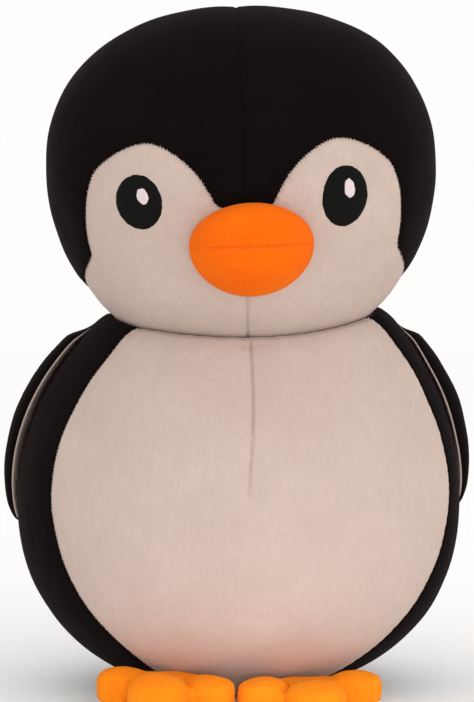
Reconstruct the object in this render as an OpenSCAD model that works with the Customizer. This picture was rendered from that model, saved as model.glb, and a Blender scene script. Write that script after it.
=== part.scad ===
// Sitting plush penguin: a stuffed toy of short-pile plush.
// Each sewn panel is a thin closed sheet, and neighbouring panels share their seam line.
// Origin: on the floor, at the middle of the toy. Front is -Y, up is +Z.

/* [Body] */
// width of the body at its widest
body_w = 294.6; // [200:0.2:400]
// depth of the body, front to back
body_d = 248; // [180:1:360]
// height of the widest point above the floor
body_mid_z = 126; // [100:1:200]
// rise of the body from its widest point to the top of its curve
body_up = 157.5; // [100:0.5:200]
// drop of the body's curve below its widest point, before the base flattens it
body_down = 130.5; // [100:0.5:200]
// how far the top of the body leans to the left of the toy
body_lean = 9; // [-20:0.5:20]
// roundness of the lower body, 2 is an ellipse and more is squarer
body_low_n = 2.2; // [2:0.1:3]
// half angle of the belly panel at its widest, measured round from the front
belly_angle = 62.5; // [40:0.5:80]
// how much that angle shrinks up to the neck
belly_neck_taper = 9; // [0:1:30]
// how much that angle shrinks down to the base
belly_foot_taper = 25; // [0:1:50]
// how far round the belly panel is sewn off the middle, in degrees
belly_turn = 5.3; // [-10:0.1:10]

/* [Head] */
// width of the head
head_w = 254.6; // [200:0.2:320]
// depth of the head, front to back
head_d = 232; // [180:1:300]
// height of the head's middle above the floor
head_z = 344.4; // [300:0.2:400]
// rise from the head's middle to its crown
head_up = 105.6; // [80:0.2:140]
// drop from the head's middle to the bottom of its curve
head_down = 113.5; // [80:0.5:140]
// roundness of the head, 2 is an ellipsoid and more is squarer
head_n = 2.3; // [2:0.05:3]
// how far the head sits forward of the body's middle
head_forward = 18; // [0:1:30]
// how far the head's middle sits to the left of the toy
head_x = 0.7; // [-10:0.1:10]
// sideways lean of the head, in degrees
head_lean = 1.8; // [-5:0.1:5]
// how far the head turns round on the neck, in degrees
head_turn = -1.3; // [-10:0.1:10]
// how far the face looks down, in degrees
face_tip = 10.7; // [0:0.1:20]
// radius of the ball under the head that sits in the neck
ball_r = 128; // [110:0.5:140]

/* [Face] */
// azimuth of each eye from the middle of the face
eye_az = 31; // [20:0.5:45]
// elevation of the eyes in the face
eye_el = -2; // [-10:0.5:10]
// half width of an eye, in degrees round the head
eye_half_w = 7.1; // [4:0.1:10]
// half height of an eye, in degrees
eye_half_h = 8.3; // [4:0.1:12]
// how far the embroidery stands up
eye_high = 1.2; // [0.5:0.1:3]
// azimuth of the middle of the beak
beak_az = 1.9; // [-5:0.1:5]
// elevation of the middle of the beak
beak_el = -16.6; // [-30:0.2:0]
// half width of the beak, in degrees round the head
beak_half_w = 19.6; // [12:0.2:28]
// half height of the beak, in degrees
beak_half_h = 14.2; // [10:0.2:24]
// how far the beak stands out from the face
beak_out = 32; // [15:1:50]

/* [Flippers] */
// half width of a flipper at its widest
wing_half_w = 33; // [20:1:50]
// half width of a flipper where it is sewn on
wing_root_half_w = 23; // [12:1:40]
// half thickness of a flipper's batting
wing_half_t = 4.8; // [1:0.2:8]
// angle of a flipper's middle round the body from the front
wing_phi = 99; // [80:1:130]
// curve angle of a flipper's root on the body
wing_root_t = 47; // [30:1:52]
// curve angle of the left flipper's tip on the body
wing_left_tip_t = -2.5; // [-40:0.5:10]
// curve angle of the right flipper's tip on the body
wing_right_tip_t = -6; // [-40:0.5:10]
// how far the front edge of the left flipper stands off
wing_left_flare = -2; // [-2:0.1:8]
// how far the front edge of the right flipper stands off
wing_right_flare = 0.6; // [-2:0.1:8]

/* [Feet] */
// sideways place of a foot's middle
foot_x = 37.6; // [30:0.1:70]
// how far both feet sit off to the left of the toy
foot_shift = -5.5; // [-10:0.5:10]
// how far a foot's middle is in front of the body's middle
foot_front = 83.6; // [70:0.2:110]
// height of the seam round a foot
foot_seam_z = 15.5; // [8:0.5:24]
// height of a toe above that seam
toe_high = 13.5; // [8:0.5:24]
// height of the left foot as a share of the right foot's
foot_left_low = 0.83; // [0.7:0.01:1.2]

/* [Fabric] */
// thickness of the plush
plush = 2; // [1:0.1:4]
// space left between the plush and the stuffing
ease = 0.8; // [0.4:0.1:2]

/* [Show] */
// one piece by name, or all

/* [Hidden] */
black = [0.09, 0.07, 0.07];
white = [0.86, 0.77, 0.73];
orange = [0.98, 0.45, 0.1];
stuffing = [0.93, 0.92, 0.9];
cup_r = ball_r + 0.6;
neck_space = 1.2;
wing_plush = 1.5;
// The head's panels have flat facets, which cut inside the curve.
facet_room = 2.2;
// The stuffing stays out of the creases between the toes.
foot_room = 1.6;

// Closed sheet between two grids of points that run the same way.
// Rows go down and columns go right as seen from outside the first grid.
module sheet(out, inn, first_point = false, last_point = false, ring = false) {
  nr = len(out);
  nc = len(out[0]);
  last = ring ? nc - 1 : nc - 2;
  function id(l, r, c) = (l * nr + r) * nc
    + (first_point && r == 0 || last_point && r == nr - 1 ? 0 : c % nc);
  quads = [for (r = [0 : nr - 2], c = [0 : last])
    [id(0, r, c), id(0, r, c + 1), id(0, r + 1, c + 1), id(0, r + 1, c),
     id(1, r, c), id(1, r, c + 1), id(1, r + 1, c + 1), id(1, r + 1, c)]];
  skins = [for (q = quads) each
    [[q[0], q[1], q[2]], [q[0], q[2], q[3]], [q[4], q[6], q[5]], [q[4], q[7], q[6]]]];
  ends = [for (c = [0 : last]) each
    let (a = id(0, 0, c), b = id(0, 0, c + 1), a2 = id(1, 0, c), b2 = id(1, 0, c + 1))
    let (e = id(0, nr - 1, c), d = id(0, nr - 1, c + 1))
    let (e2 = id(1, nr - 1, c), d2 = id(1, nr - 1, c + 1))
    [[b, a, a2], [b, a2, b2], [e, d, e2], [d, d2, e2]]];
  flanks = ring ? [] : [for (r = [0 : nr - 2]) each
    let (a = id(0, r, 0), e = id(0, r + 1, 0), a2 = id(1, r, 0), e2 = id(1, r + 1, 0))
    let (b = id(0, r, nc - 1), d = id(0, r + 1, nc - 1))
    let (b2 = id(1, r, nc - 1), d2 = id(1, r + 1, nc - 1))
    [[a, e, a2], [e, e2, a2], [d, b, b2], [d, b2, d2]]];
  polyhedron(
    points = [for (g = [out, inn]) for (row = g) each row],
    faces = [for (f = concat(skins, ends, flanks))
      if (f[0] != f[1] && f[1] != f[2] && f[2] != f[0]) f]);
}

// Closed solid inside rings of points that start and end in a point.
module lump(rows) {
  nr = len(rows);
  nc = len(rows[0]);
  function id(r, c) = r * nc + (r == 0 || r == nr - 1 ? 0 : c % nc);
  quads = [for (r = [0 : nr - 2], c = [0 : nc - 1])
    [id(r, c), id(r, c + 1), id(r + 1, c + 1), id(r + 1, c)]];
  faces = [for (q = quads) each [[q[0], q[1], q[2]], [q[0], q[2], q[3]]]];
  polyhedron(
    points = [for (row = rows) each row],
    faces = [for (f = faces) if (f[0] != f[1] && f[1] != f[2] && f[2] != f[0]) f]);
}

function smooth(x) = let (u = min(1, max(0, x))) u * u * (3 - 2 * u);

// ---- head, as points about its own middle ----

// Unit direction from an azimuth and an elevation in the tipped face.
function face_dir(az, el) =
  let (x = cos(el) * sin(az), y = -cos(el) * cos(az), z = sin(el))
  [x, y * cos(face_tip) - z * sin(face_tip), y * sin(face_tip) + z * cos(face_tip)];

// Distance of the head's surface, which runs into the neck ball below.
function head_r(d) =
  let (half_h = d.z > 0 ? head_up : head_down)
  let (side = abs(d.x) / (head_w / 2), rest = norm([d.y / (head_d / 2), d.z / half_h]))
  let (r = pow(pow(side, head_n) + pow(rest, head_n), -1 / head_n))
  let (down = -asin(d.z), low = smooth((down - 22) / 26), tuck = smooth((down - 4) / 22))
  let (full = r + (ball_r - r) * low)
  full - max(0, full - ball_r) * tuck;

function head_at(az, el, up) = let (d = face_dir(az, el)) (head_r(d) + up) * d;

// The hem of the head's plush, hidden inside the neck.
function hem_el(az) = -64 + 6 * cos(az);

// The seam between hood and face: azimuth and elevation from the beak round to the neck.
face_edge = [
  [0, -4], [8.5, -3], [10.7, 0.8], [14.4, 6.5], [18, 10], [22, 12.7], [25.6, 14.4],
  [29.6, 15.3], [33, 14.9], [37.2, 13.4], [41.6, 11], [45.4, 8.2], [47.8, 5.8],
  [49.6, 2.2], [50.9, -1], [51.8, -4.5], [52.6, -8.5], [53.4, -12.2], [54.1, -15.6],
  [54.7, -18.7], [56, -20.6], [58.8, -22.6], [65.2, -26.7], [71.8, -30.3], [82, -37],
  [94, -46.5], [104, -56], [112, -66.25],
];
edge_end = 112;
function edge_el(az) = az < edge_end ? lookup(az, face_edge) : hem_el(az);
hood_az = concat([for (p = face_edge) p[0]], [122, 133, 145, 157, 169, 180]);
hood_rows = 15;
face_cols = 9;

function hood_grid(up) = [for (r = [0 : hood_rows]) [for (az = hood_az)
  head_at(az, 90 + (edge_el(az) - 90) * r / hood_rows, up)]];
function face_grid(up) = [for (p = face_edge) [for (c = [0 : face_cols])
  head_at(p[0], hem_el(p[0]) + (edge_el(p[0]) - hem_el(p[0])) * c / face_cols, up)]];

// A patch of embroidery on the face: an oval round (az, el), from base up to top.
module patch(az, el, half_w, half_h, base, top) {
  rings = 3;
  cols = 22;
  function grid(lift, drop) = [for (r = [0 : rings]) [for (c = [0 : cols - 1])
    let (s = r / rings, a = 360 * c / cols)
    head_at(az + s * half_w * cos(a), el + s * half_h * sin(a), lift - drop * pow(s, 4))]];
  sheet(grid(top, (top - base) / 2), grid(base, 0), first_point = true, ring = true);
}

// The beak is a stuffed oval that stands out level from the face.
beak_way = [0, -cos(4), sin(4)];
function beak_at(s, a, inset) =
  let (k = s * (1 - inset / 37))
  head_at(beak_az + k * beak_half_w * cos(a), beak_el + k * beak_half_h * sin(a), 0.12)
    + (beak_out - inset) * pow(1 - pow(s, 2.4), 0.5) * beak_way;
beak_rows = [0, 0.2, 0.4, 0.6, 0.75, 0.87, 0.95, 1];
function beak_grid(a0, a1, cols, inset) = [for (s = beak_rows) [for (c = [0 : cols])
  beak_at(s, a0 + (a1 - a0) * c / cols, inset)]];
beak_cols = 16;

// The toy's front is the beak and its back is the body, and the origin is half way.
beak_front = min([for (row = beak_grid(0, 180, beak_cols, 0)) for (p = row) p.y]);
mid_y = -(beak_front - head_forward + body_d / 2) / 2;
head_centre = [head_x, mid_y - head_forward, head_z];

// ---- body ----

// Point on the body at phi round from the front and curve angle t, moved inward.
function body_at(phi, t, inset) =
  let (n = t > 0 ? 2 : body_low_n, rise = (t > 0 ? body_up : body_down) - inset)
  let (flat = pow(cos(t), 2 / n), high = sign(t) * pow(abs(sin(t)), 2 / n))
  [(body_w / 2 - inset) * flat * sin(phi) + body_lean * pow(max(0, sin(t)), 2),
   mid_y - (body_d / 2 - inset) * flat * cos(phi),
   body_mid_z + rise * high];

floor_t = -asin(pow(body_mid_z / body_down, body_low_n / 2));

// Curve angle at which the body meets the neck cup, found by halving.
function neck_t(phi, inset, r = cup_r, lo = 15, hi = 82, k = 16) =
  let (m = (lo + hi) / 2)
  k == 0 ? m
    : norm(body_at(phi, m, inset) - head_centre) > r ? neck_t(phi, inset, r, m, hi, k - 1)
    : neck_t(phi, inset, r, lo, m, k - 1);

body_rows = 20;
// Half angle of the belly panel at each row.
belly_phi = [for (r = [0 : body_rows])
  let (top = neck_t(48, 0), z = body_at(48, top + (floor_t - top) * r / body_rows, 0).z)
  belly_angle - (z > 150 ? belly_neck_taper * pow((z - 150) / 93, 2)
    : belly_foot_taper * pow((150 - z) / 150, 2))];

function body_point(phi, f, inset) =
  let (top = neck_t(phi, inset)) body_at(phi, top + (floor_t - top) * f, inset);

function belly_grid(inset, cols) = [for (r = [0 : body_rows]) [for (c = [0 : cols])
  body_point(belly_turn + belly_phi[r] * (2 * c / cols - 1), r / body_rows, inset)]];

belly_cols = 16;
side_cols = 15;
// Angle of column c of a side panel on the left (way 1) or the right (way -1).
function side_phi(way, r, c) =
  let (span = 180 - belly_phi[r] - way * belly_turn)
  (way > 0 ? 180 - span : -180) + span * c / side_cols;
function side_grid(way, inset) = [for (r = [0 : body_rows]) [for (c = [0 : side_cols])
  body_point(side_phi(way, r, c), r / body_rows, inset)]];

// The base takes its outline from the bottom hems of the panels.
base_phi = concat(
  [for (c = [0 : belly_cols])
    belly_turn + belly_phi[body_rows] * (2 * c / belly_cols - 1)],
  [for (c = [1 : side_cols]) side_phi(1, body_rows, c)],
  [for (c = [1 : side_cols - 1]) 360 + side_phi(-1, body_rows, c)]);
function base_grid(inset) = [for (s = [1, 0.5, 0]) [for (phi = base_phi)
  let (p = body_at(phi, floor_t, inset)) [s * p.x, mid_y + s * (p.y - mid_y), inset == 0 ? 0 : p.z]]];

// The stuffing fills the panels and is hollowed to a cup for the head.
module body_fill() {
  inset = plush + ease;
  cols = 40;
  r = cup_r + neck_space;
  phis = [for (c = [0 : cols - 1]) 360 * c / cols];
  rims = [for (phi = phis) neck_t(phi, inset, r)];
  function cup(c, s) =
    let (rim = body_at(phis[c], rims[c], inset) - head_centre)
    let (way = s * rim + (1 - s) * [0, 0, -r])
    head_centre + r * way / norm(way);
  lump(concat(
    [for (s = [0 : 0.2 : 0.8]) [for (c = [0 : cols - 1]) cup(c, s)]],
    [for (f = [0 : 18]) [for (c = [0 : cols - 1])
      body_at(phis[c], rims[c] + (floor_t + 1 - rims[c]) * f / 18, inset)]],
    [[for (c = [0 : cols - 1])
      let (p = body_at(0, floor_t + 1, inset)) [0, mid_y, p.z]]]));
}

// ---- flippers, side is 1 for the left one and -1 for the right one ----

function wing_half(v) = v < 0.35
  ? wing_half_w - (wing_half_w - wing_root_half_w) * pow((0.35 - v) / 0.35, 2)
  : wing_half_w * pow(max(0, 1 - pow((v - 0.35) / 0.65, 2.2)), 0.6);
function wing_batting(u, v) = wing_half_t * sqrt(max(0, 1 - u * u)) * smooth(v / 0.14 + 0.05)
  * (v < 0.5 ? 0.5 + 0.5 * smooth(v / 0.5) : sqrt(max(0, 1 - pow((v - 0.5) / 0.5, 2))));
function wing_off(u, v, flare) = 0.8 + wing_plush + (wing_batting(0, v) + wing_batting(u, v)) / 2
  + flare * pow((1 - u) / 2, 6) * smooth(v / 0.3) * smooth((1 - v) / 0.4);
// Point of a flipper at u across, v down and lift away from its middle layer.
function wing_at(side, u, v, lift) =
  let (tip_t = side > 0 ? wing_left_tip_t : wing_right_tip_t)
  let (flare = side > 0 ? wing_left_flare : wing_right_flare)
  let (t = wing_root_t + (tip_t - wing_root_t) * v)
  let (reach = body_w / 2 * cos(t), phi = wing_phi + side * u * wing_half(v) / reach * 57.3)
  body_at(side * phi, t, -wing_off(side * u, v, flare) - lift);
wing_v = [0, 0.1, 0.2, 0.32, 0.44, 0.56, 0.68, 0.79, 0.88, 0.94, 0.98, 1];
wing_u = [-1, -0.93, -0.75, -0.5, -0.25, 0, 0.25, 0.5, 0.75, 0.93, 1];
function wing_grid(side, layer, add) = [for (v = wing_v) [for (u = wing_u)
  wing_at(side, u, v, layer * wing_batting(u, v) + add)]];
function wing_fill_grid(side, layer) = [for (v = wing_v) [for (u = wing_u)
  let (u2 = u * 0.93, v2 = 0.1 + v * 0.85)
  wing_at(side, u2, v2, layer * (wing_batting(u2, v2) * 0.8 - 0.2))]];

module wing_layer(side, layer) {
  if (layer == 0) sheet(wing_fill_grid(side, 1), wing_fill_grid(side, -1));
  if (layer == 1)
    sheet(wing_grid(side, 1, wing_plush), wing_grid(side, 1, 0), last_point = true);
  if (layer == -1)
    sheet(wing_grid(side, -1, 0), wing_grid(side, -1, -wing_plush), last_point = true);
}

// ---- feet, as points on the left side ----

// Lobes, the palm first and then the toes: direction out from straight ahead, distance of
// the lobe's middle, half length, half width, share of the toe height.
// The two feet are not stuffed quite alike: way is 1 for the left one and -1 for the right one.
function lobes(way) = way > 0
  ? [[10, 14, 26, 25, 0.58], [-43, 30, 19, 15.5, 0.97], [17, 39, 20, 19, 1], [96, 39.5, 18, 15, 0.9]]
  : [[10, 14, 26, 25, 0.5], [-43, 30, 19, 15.5, 0.7], [17, 39, 20, 19, 1], [96, 33, 18, 15, 0.8]];
// Share of the toe height that the web between two toes keeps.
web_high = 0.5;

// How far a ray at angle a from the foot's middle runs inside a lobe.
function lobe_reach(lobe, a) =
  let (c = lobe[1], la = lobe[2], lb = lobe[3], x = cos(a - lobe[0]), y = sin(a - lobe[0]))
  let (q = x * x / (la * la) + y * y / (lb * lb), h = c * x / (la * la))
  let (inside = h * h - q * (c * c / (la * la) - 1))
  inside < 0 ? 0 : (h + sqrt(inside)) / q;
function foot_reach(way, a) = max([for (lobe = lobes(way)) lobe_reach(lobe, a)]);

// Fullness of the foot, 0 at its seam and 1 on top of the middle toe.
function lobe_full(lobe, a, r) =
  let (x = r * cos(a - lobe[0]) - lobe[1], y = r * sin(a - lobe[0]))
  lobe[4] * sqrt(max(0, 1 - pow(x / lobe[2], 2) - pow(y / lobe[3], 2)));
function foot_full(way, a, s, reach) = max(
  web_high * sqrt(1 - s * s), max([for (lobe = lobes(way)) lobe_full(lobe, a, s * reach * 0.999)]));

// Point of the foot at share s of the way out, on the top (side 1) or the sole (side -1).
function foot_at(way, s, a, side, inset) =
  let (reach = foot_reach(way, a), full = foot_full(way, a, s, reach) * (s == 1 ? 0 : 1))
  let (r = s * (reach - inset))
  let (z = side > 0 ? (toe_high - inset) * full
    : -(foot_seam_z - 0.5 - inset) * pow(full, 0.5))
  [foot_x + r * sin(a), mid_y - foot_front - r * cos(a),
   (foot_seam_z + z) * (way > 0 ? foot_left_low : 1)];
foot_cols = 36;
foot_rows = [0, 0.3, 0.6, 0.82, 0.95, 1];
function foot_grid(way, side, inset) = [
  for (s = side > 0 ? foot_rows : [for (i = [len(foot_rows) - 1 : -1 : 0]) foot_rows[i]])
  [for (c = [0 : foot_cols - 1]) foot_at(way, s, 360 * c / foot_cols, side, inset)]];

module foot_layer(way, layer) {
  if (layer == 1)
    sheet(foot_grid(way, 1, 0), foot_grid(way, 1, plush), first_point = true, ring = true);
  if (layer == -1)
    sheet(foot_grid(way, -1, 0), foot_grid(way, -1, plush), last_point = true, ring = true);
  inset = plush + ease + foot_room;
  if (layer == 0) lump(concat(
    foot_grid(way, 1, inset),
    [for (r = [1 : len(foot_rows) - 1]) foot_grid(way, -1, inset)[r]]));
}

// ---- thread ----

// Round thread along a path.
module thread(path, r) {
  n = len(path);
  function way(i) = let (d = path[min(n - 1, i + 1)] - path[max(0, i - 1)]) d / norm(d);
  function turn(i) = let (u = cross(way(i), [0, 1, 0])) u / norm(u);
  lump(concat(
    [[for (c = [0 : 5]) path[0]]],
    [for (i = [0 : n - 1]) [for (c = [0 : 5])
      path[i] + r * (cos(60 * c) * turn(i) - sin(60 * c) * cross(way(i), turn(i)))]],
    [[for (c = [0 : 5]) path[n - 1]]]));
}

// ---- placing ----

module on_head() translate(head_centre) rotate([0, -head_lean, head_turn]) children();
module other_side() mirror([1, 0, 0]) children();
module on_feet() translate([foot_shift, 0, 0]) children();

// ---- sub-parts ----

module hood_left() color(black) on_head()
  sheet(hood_grid(0), hood_grid(-plush), first_point = true);
module hood_right() color(black) on_head() other_side()
  sheet(hood_grid(0), hood_grid(-plush), first_point = true);
module face_left() color(white) on_head()
  sheet(face_grid(0), face_grid(-plush), last_point = true);
module face_right() color(white) on_head() other_side()
  sheet(face_grid(0), face_grid(-plush), last_point = true);

module head_filling() color(stuffing) on_head()
  lump([for (r = [0 : 20]) [for (c = [0 : 39])
    head_at(9 * c, 90 - 9 * r, -plush - ease - facet_room)]]);

module eye_left() color(black) on_head()
  patch(eye_az, eye_el, eye_half_w, eye_half_h, 0.12, eye_high);
module eye_right() color(black) on_head()
  patch(-eye_az, eye_el, eye_half_w, eye_half_h, 0.12, eye_high);
module eye_glint_left() color(white) on_head()
  patch(eye_az + 1.5, eye_el + 2.1, 1.85, 2.7, eye_high + 0.12, eye_high + 0.8);
module eye_glint_right() color(white) on_head()
  patch(-eye_az + 1.5, eye_el + 1.7, 1.95, 2.4, eye_high + 0.12, eye_high + 0.8);

module beak_upper() color(orange) on_head()
  sheet(beak_grid(0, 180, beak_cols, 0), beak_grid(0, 180, beak_cols, plush), first_point = true);
module beak_lower() color(orange) on_head()
  sheet(beak_grid(180, 360, beak_cols, 0), beak_grid(180, 360, beak_cols, plush),
    first_point = true);
module beak_filling() {
  cols = 24;
  inset = plush + ease;
  function back(s, a) = let (k = s * (1 - inset / 37))
    head_at(beak_az + k * beak_half_w * cos(a), beak_el + k * beak_half_h * sin(a), 1.2);
  angles = [for (c = [0 : cols - 1]) 360 * c / cols];
  color(stuffing) on_head() lump(concat(
    [for (s = [0, 0.25, 0.5, 0.7, 0.85, 0.95]) [for (a = angles) beak_at(s, a, inset)]],
    [for (s = [0.95, 0.6, 0.3, 0]) [for (a = angles) back(s, a)]]));
}

module belly_panel() color(white)
  sheet(belly_grid(0, belly_cols), belly_grid(plush, belly_cols));
module side_left() color(black)
  sheet(side_grid(1, 0), side_grid(1, plush));
module side_right() color(black)
  sheet(side_grid(-1, 0), side_grid(-1, plush));
module base_panel() color(black)
  sheet(base_grid(0), base_grid(plush), last_point = true, ring = true);
module body_filling() color(stuffing) body_fill();

module closing_stitches() color(black)
  thread([for (i = [0 : 16]) body_at(i % 2 == 0 ? 178.8 : 181.2, -18 - i * 2.4, -0.6)], 0.4);

module wing_left_outer() color(black) wing_layer(1, 1);
module wing_left_lining() color(white) wing_layer(1, -1);
module wing_left_filling() color(stuffing) wing_layer(1, 0);
module wing_right_outer() color(black) wing_layer(-1, 1);
module wing_right_lining() color(white) wing_layer(-1, -1);
module wing_right_filling() color(stuffing) wing_layer(-1, 0);

module foot_left_top() color(orange) on_feet() foot_layer(1, 1);
module foot_left_sole() color(orange) on_feet() foot_layer(1, -1);
module foot_left_filling() color(stuffing) on_feet() foot_layer(1, 0);
module foot_right_top() color(orange) on_feet() other_side() foot_layer(-1, 1);
module foot_right_sole() color(orange) on_feet() other_side() foot_layer(-1, -1);
module foot_right_filling() color(stuffing) on_feet() other_side() foot_layer(-1, 0);

hood_left();
hood_right();
face_left();
face_right();
head_filling();
eye_left();
eye_right();
eye_glint_left();
eye_glint_right();
beak_upper();
beak_lower();
beak_filling();
belly_panel();
side_left();
side_right();
base_panel();
body_filling();
closing_stitches();
wing_left_outer();
wing_left_lining();
wing_left_filling();
wing_right_outer();
wing_right_lining();
wing_right_filling();
foot_left_top();
foot_left_sole();
foot_left_filling();
foot_right_top();
foot_right_sole();
foot_right_filling();
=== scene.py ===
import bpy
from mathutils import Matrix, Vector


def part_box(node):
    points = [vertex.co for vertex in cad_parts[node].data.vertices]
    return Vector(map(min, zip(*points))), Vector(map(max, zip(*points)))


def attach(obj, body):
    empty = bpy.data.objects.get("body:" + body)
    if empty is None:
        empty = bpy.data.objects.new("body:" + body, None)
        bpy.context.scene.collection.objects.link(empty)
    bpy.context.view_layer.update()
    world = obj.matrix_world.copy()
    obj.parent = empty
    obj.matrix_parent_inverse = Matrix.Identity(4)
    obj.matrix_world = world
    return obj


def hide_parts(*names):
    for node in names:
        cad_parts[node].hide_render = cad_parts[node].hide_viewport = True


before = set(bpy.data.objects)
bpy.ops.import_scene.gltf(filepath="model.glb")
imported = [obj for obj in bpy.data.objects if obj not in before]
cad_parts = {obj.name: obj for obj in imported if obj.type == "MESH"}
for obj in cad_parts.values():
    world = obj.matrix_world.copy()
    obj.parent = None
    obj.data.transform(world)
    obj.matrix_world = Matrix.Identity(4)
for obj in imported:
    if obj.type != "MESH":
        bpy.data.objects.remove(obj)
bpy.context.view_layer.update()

import math

import bpy
import numpy as np
from mathutils import Vector
from mathutils.kdtree import KDTree

# All shapes are worked out in millimetres and turned into metres when a mesh is made.
# The penguin faces -Y, and its own left is +X.
MM = 1000
SIDES = (("left", 1), ("right", -1))
# Thickness of the plush cloth.
PLUSH = 2.0

base_lo, base_hi = (np.array(corner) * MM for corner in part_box("base_panel"))
MID_Y = float(base_lo[1] + base_hi[1]) / 2


def sind(a):
    return np.sin(np.radians(a))


def cosd(a):
    return np.cos(np.radians(a))


def smooth(x):
    u = np.clip(x, 0, 1)
    return u * u * (3 - 2 * u)


def unit(v):
    return v / np.maximum(np.linalg.norm(v, axis=-1, keepdims=True), 1e-9)


def past(x, start, over):
    """Rises smoothly from 0 where x is start to 1 where it is over more."""
    return smooth((x - start) / over)


def bell(x, width):
    """1 at zero, falling off over the width."""
    return np.exp(-((x / width) ** 2))


def waves(p, size, seed, n=12):
    """Smooth seeded unevenness of about -1 to 1, with features of that size in mm."""
    rng = np.random.RandomState(seed)
    total = np.zeros(p.shape[:-1])
    for _ in range(n):
        way = unit(rng.normal(size=3)) * 2 * math.pi / (size * rng.uniform(0.75, 1.5))
        total += np.sin(p @ way + rng.uniform(0, 2 * math.pi))
    return total / math.sqrt(n) / 1.4


class Line:
    """A seam: points in mm, their distance along it, and the nearest of them to any point."""

    def __init__(self, pts):
        self.pts = np.asarray(pts, float)
        step = np.linalg.norm(np.diff(self.pts, axis=0), axis=1)
        self.s = np.concatenate([[0], np.cumsum(step)])
        self.tree = KDTree(len(self.pts))
        for i, p in enumerate(self.pts):
            self.tree.insert(p, i)
        self.tree.balance()

    def near(self, p):
        """Distance to the line, and how far along it the nearest point is."""
        found = [self.tree.find(q) for q in p.reshape(-1, 3)]
        dist = np.array([f[2] for f in found]).reshape(p.shape[:-1])
        along = self.s[[f[1] for f in found]].reshape(p.shape[:-1])
        return dist, along

    def even(self, step):
        """Points at even steps along the line, and their distances along it."""
        s = np.arange(0, self.s[-1], step)
        return np.stack([np.interp(s, self.s, self.pts[:, k]) for k in range(3)], axis=-1), s


PUCKER_PITCH, PUCKER_REACH = 7.0, 9.0


def pinch(line, p, depth, width, soft, soft_width, pucker):
    """How far a seam pulls the plush in: a crease, a softer dip round it, and puckers across it."""
    dist, along = line.near(p)
    uneven = 2.5 * np.sin(along / 23.0) + 1.7 * np.sin(along / 9.7)
    ripple = np.sin(2 * math.pi * along / PUCKER_PITCH + uneven)
    return (
        depth * bell(dist, width)
        + soft * bell(dist, soft_width)
        + pucker * ripple * np.exp(-dist / PUCKER_REACH) * smooth(dist / 2.0)
    )


# ---- meshes ----


def make(name, verts, faces, material, sharp=50):
    """A mesh object from points in mm. Edges sharper than the angle stay sharp."""
    mesh = bpy.data.meshes.new(name)
    mesh.from_pydata((np.asarray(verts) / MM).tolist(), [], faces)
    mesh.validate()
    mesh.polygons.foreach_set("use_smooth", [True] * len(mesh.polygons))
    mesh.set_sharp_from_angle(angle=math.radians(sharp))
    obj = bpy.data.objects.new(name, mesh)
    bpy.context.scene.collection.objects.link(obj)
    mesh.materials.append(material)
    return obj


def packed(name, verts, quads, material):
    """Drops the corners that fall together and the points that no face uses."""
    faces = []
    for quad in quads.tolist():
        face = [v for i, v in enumerate(quad) if v != quad[i - 1]]
        if len(set(face)) > 2:
            faces.append(face)
    used = np.unique(np.concatenate([np.array(face) for face in faces]))
    new = np.full(len(verts), -1)
    new[used] = np.arange(len(used))
    return make(name, verts[used], [[int(new[v]) for v in face] for face in faces], material)


def sheet(name, out, inn, material, first=False, last=False, ring=False):
    """Closed sheet between two grids that run down and to the right as seen from outside.

    first and last close the first or last row to a point. ring joins the last column to the first.
    """
    rows, cols = out.shape[:2]
    size = rows * cols
    steps = cols if ring else cols - 1

    def ids(r, c):
        c = c % cols
        if first:
            c = np.where(r == 0, 0, c)
        if last:
            c = np.where(r == rows - 1, 0, c)
        return r * cols + c

    def wall(p, q, flip):
        quad = np.stack([p, q, q + size, p + size], 1)
        return quad[:, ::-1] if flip else quad

    r, c = np.meshgrid(np.arange(rows - 1), np.arange(steps), indexing="ij")
    r, c = r.ravel(), c.ravel()
    a, b, d, e = ids(r, c), ids(r, c + 1), ids(r + 1, c + 1), ids(r + 1, c)
    quads = [np.stack([a, e, d, b], 1), np.stack([a, b, d, e], 1) + size]
    c = np.arange(steps)
    for row, flip in ((0, False), (rows - 1, True)):
        r = np.full_like(c, row)
        quads.append(wall(ids(r, c), ids(r, c + 1), flip))
    if not ring:
        r = np.arange(rows - 1)
        for col, flip in ((0, True), (cols - 1, False)):
            c = np.full_like(r, col)
            quads.append(wall(ids(r, c), ids(r + 1, c), flip))
    verts = np.concatenate([out.reshape(-1, 3), inn.reshape(-1, 3)])
    return packed(name, verts, np.concatenate(quads), material)


def denser(n, ends=0.8):
    """0 to 1 in n steps that are short at both ends."""
    t = np.linspace(0, 1, n + 1)
    return t - ends * np.sin(2 * math.pi * t) / (2 * math.pi)


def outward_steps(n, power):
    """0 to 1 in n steps that get shorter towards 1."""
    return 1 - (1 - np.linspace(0, 1, n + 1)) ** power


def finish(obj, body, slot, *nodes, fill=None):
    """Ties a piece to its body and hides the CAD nodes that it stands for. slot and fill are not used."""
    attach(obj, body)
    if nodes:
        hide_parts(*nodes)


# ---- materials ----


def nodes_of(name):
    mat = bpy.data.materials.new(name)
    mat.use_nodes = True
    tree = mat.node_tree
    return mat, tree, tree.nodes["Principled BSDF"]


def add(tree, kind, **values):
    node = tree.nodes.new(kind)
    for key, value in values.items():
        if key in node.inputs:
            node.inputs[key].default_value = value
        else:
            setattr(node, key, value)
    return node


def noise(tree, vector, scale, detail=2.0, rough=0.5):
    node = add(tree, "ShaderNodeTexNoise", Scale=scale, Detail=detail, Roughness=rough)
    tree.links.new(vector, node.inputs["Vector"])
    return node.outputs["Fac"]


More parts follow.
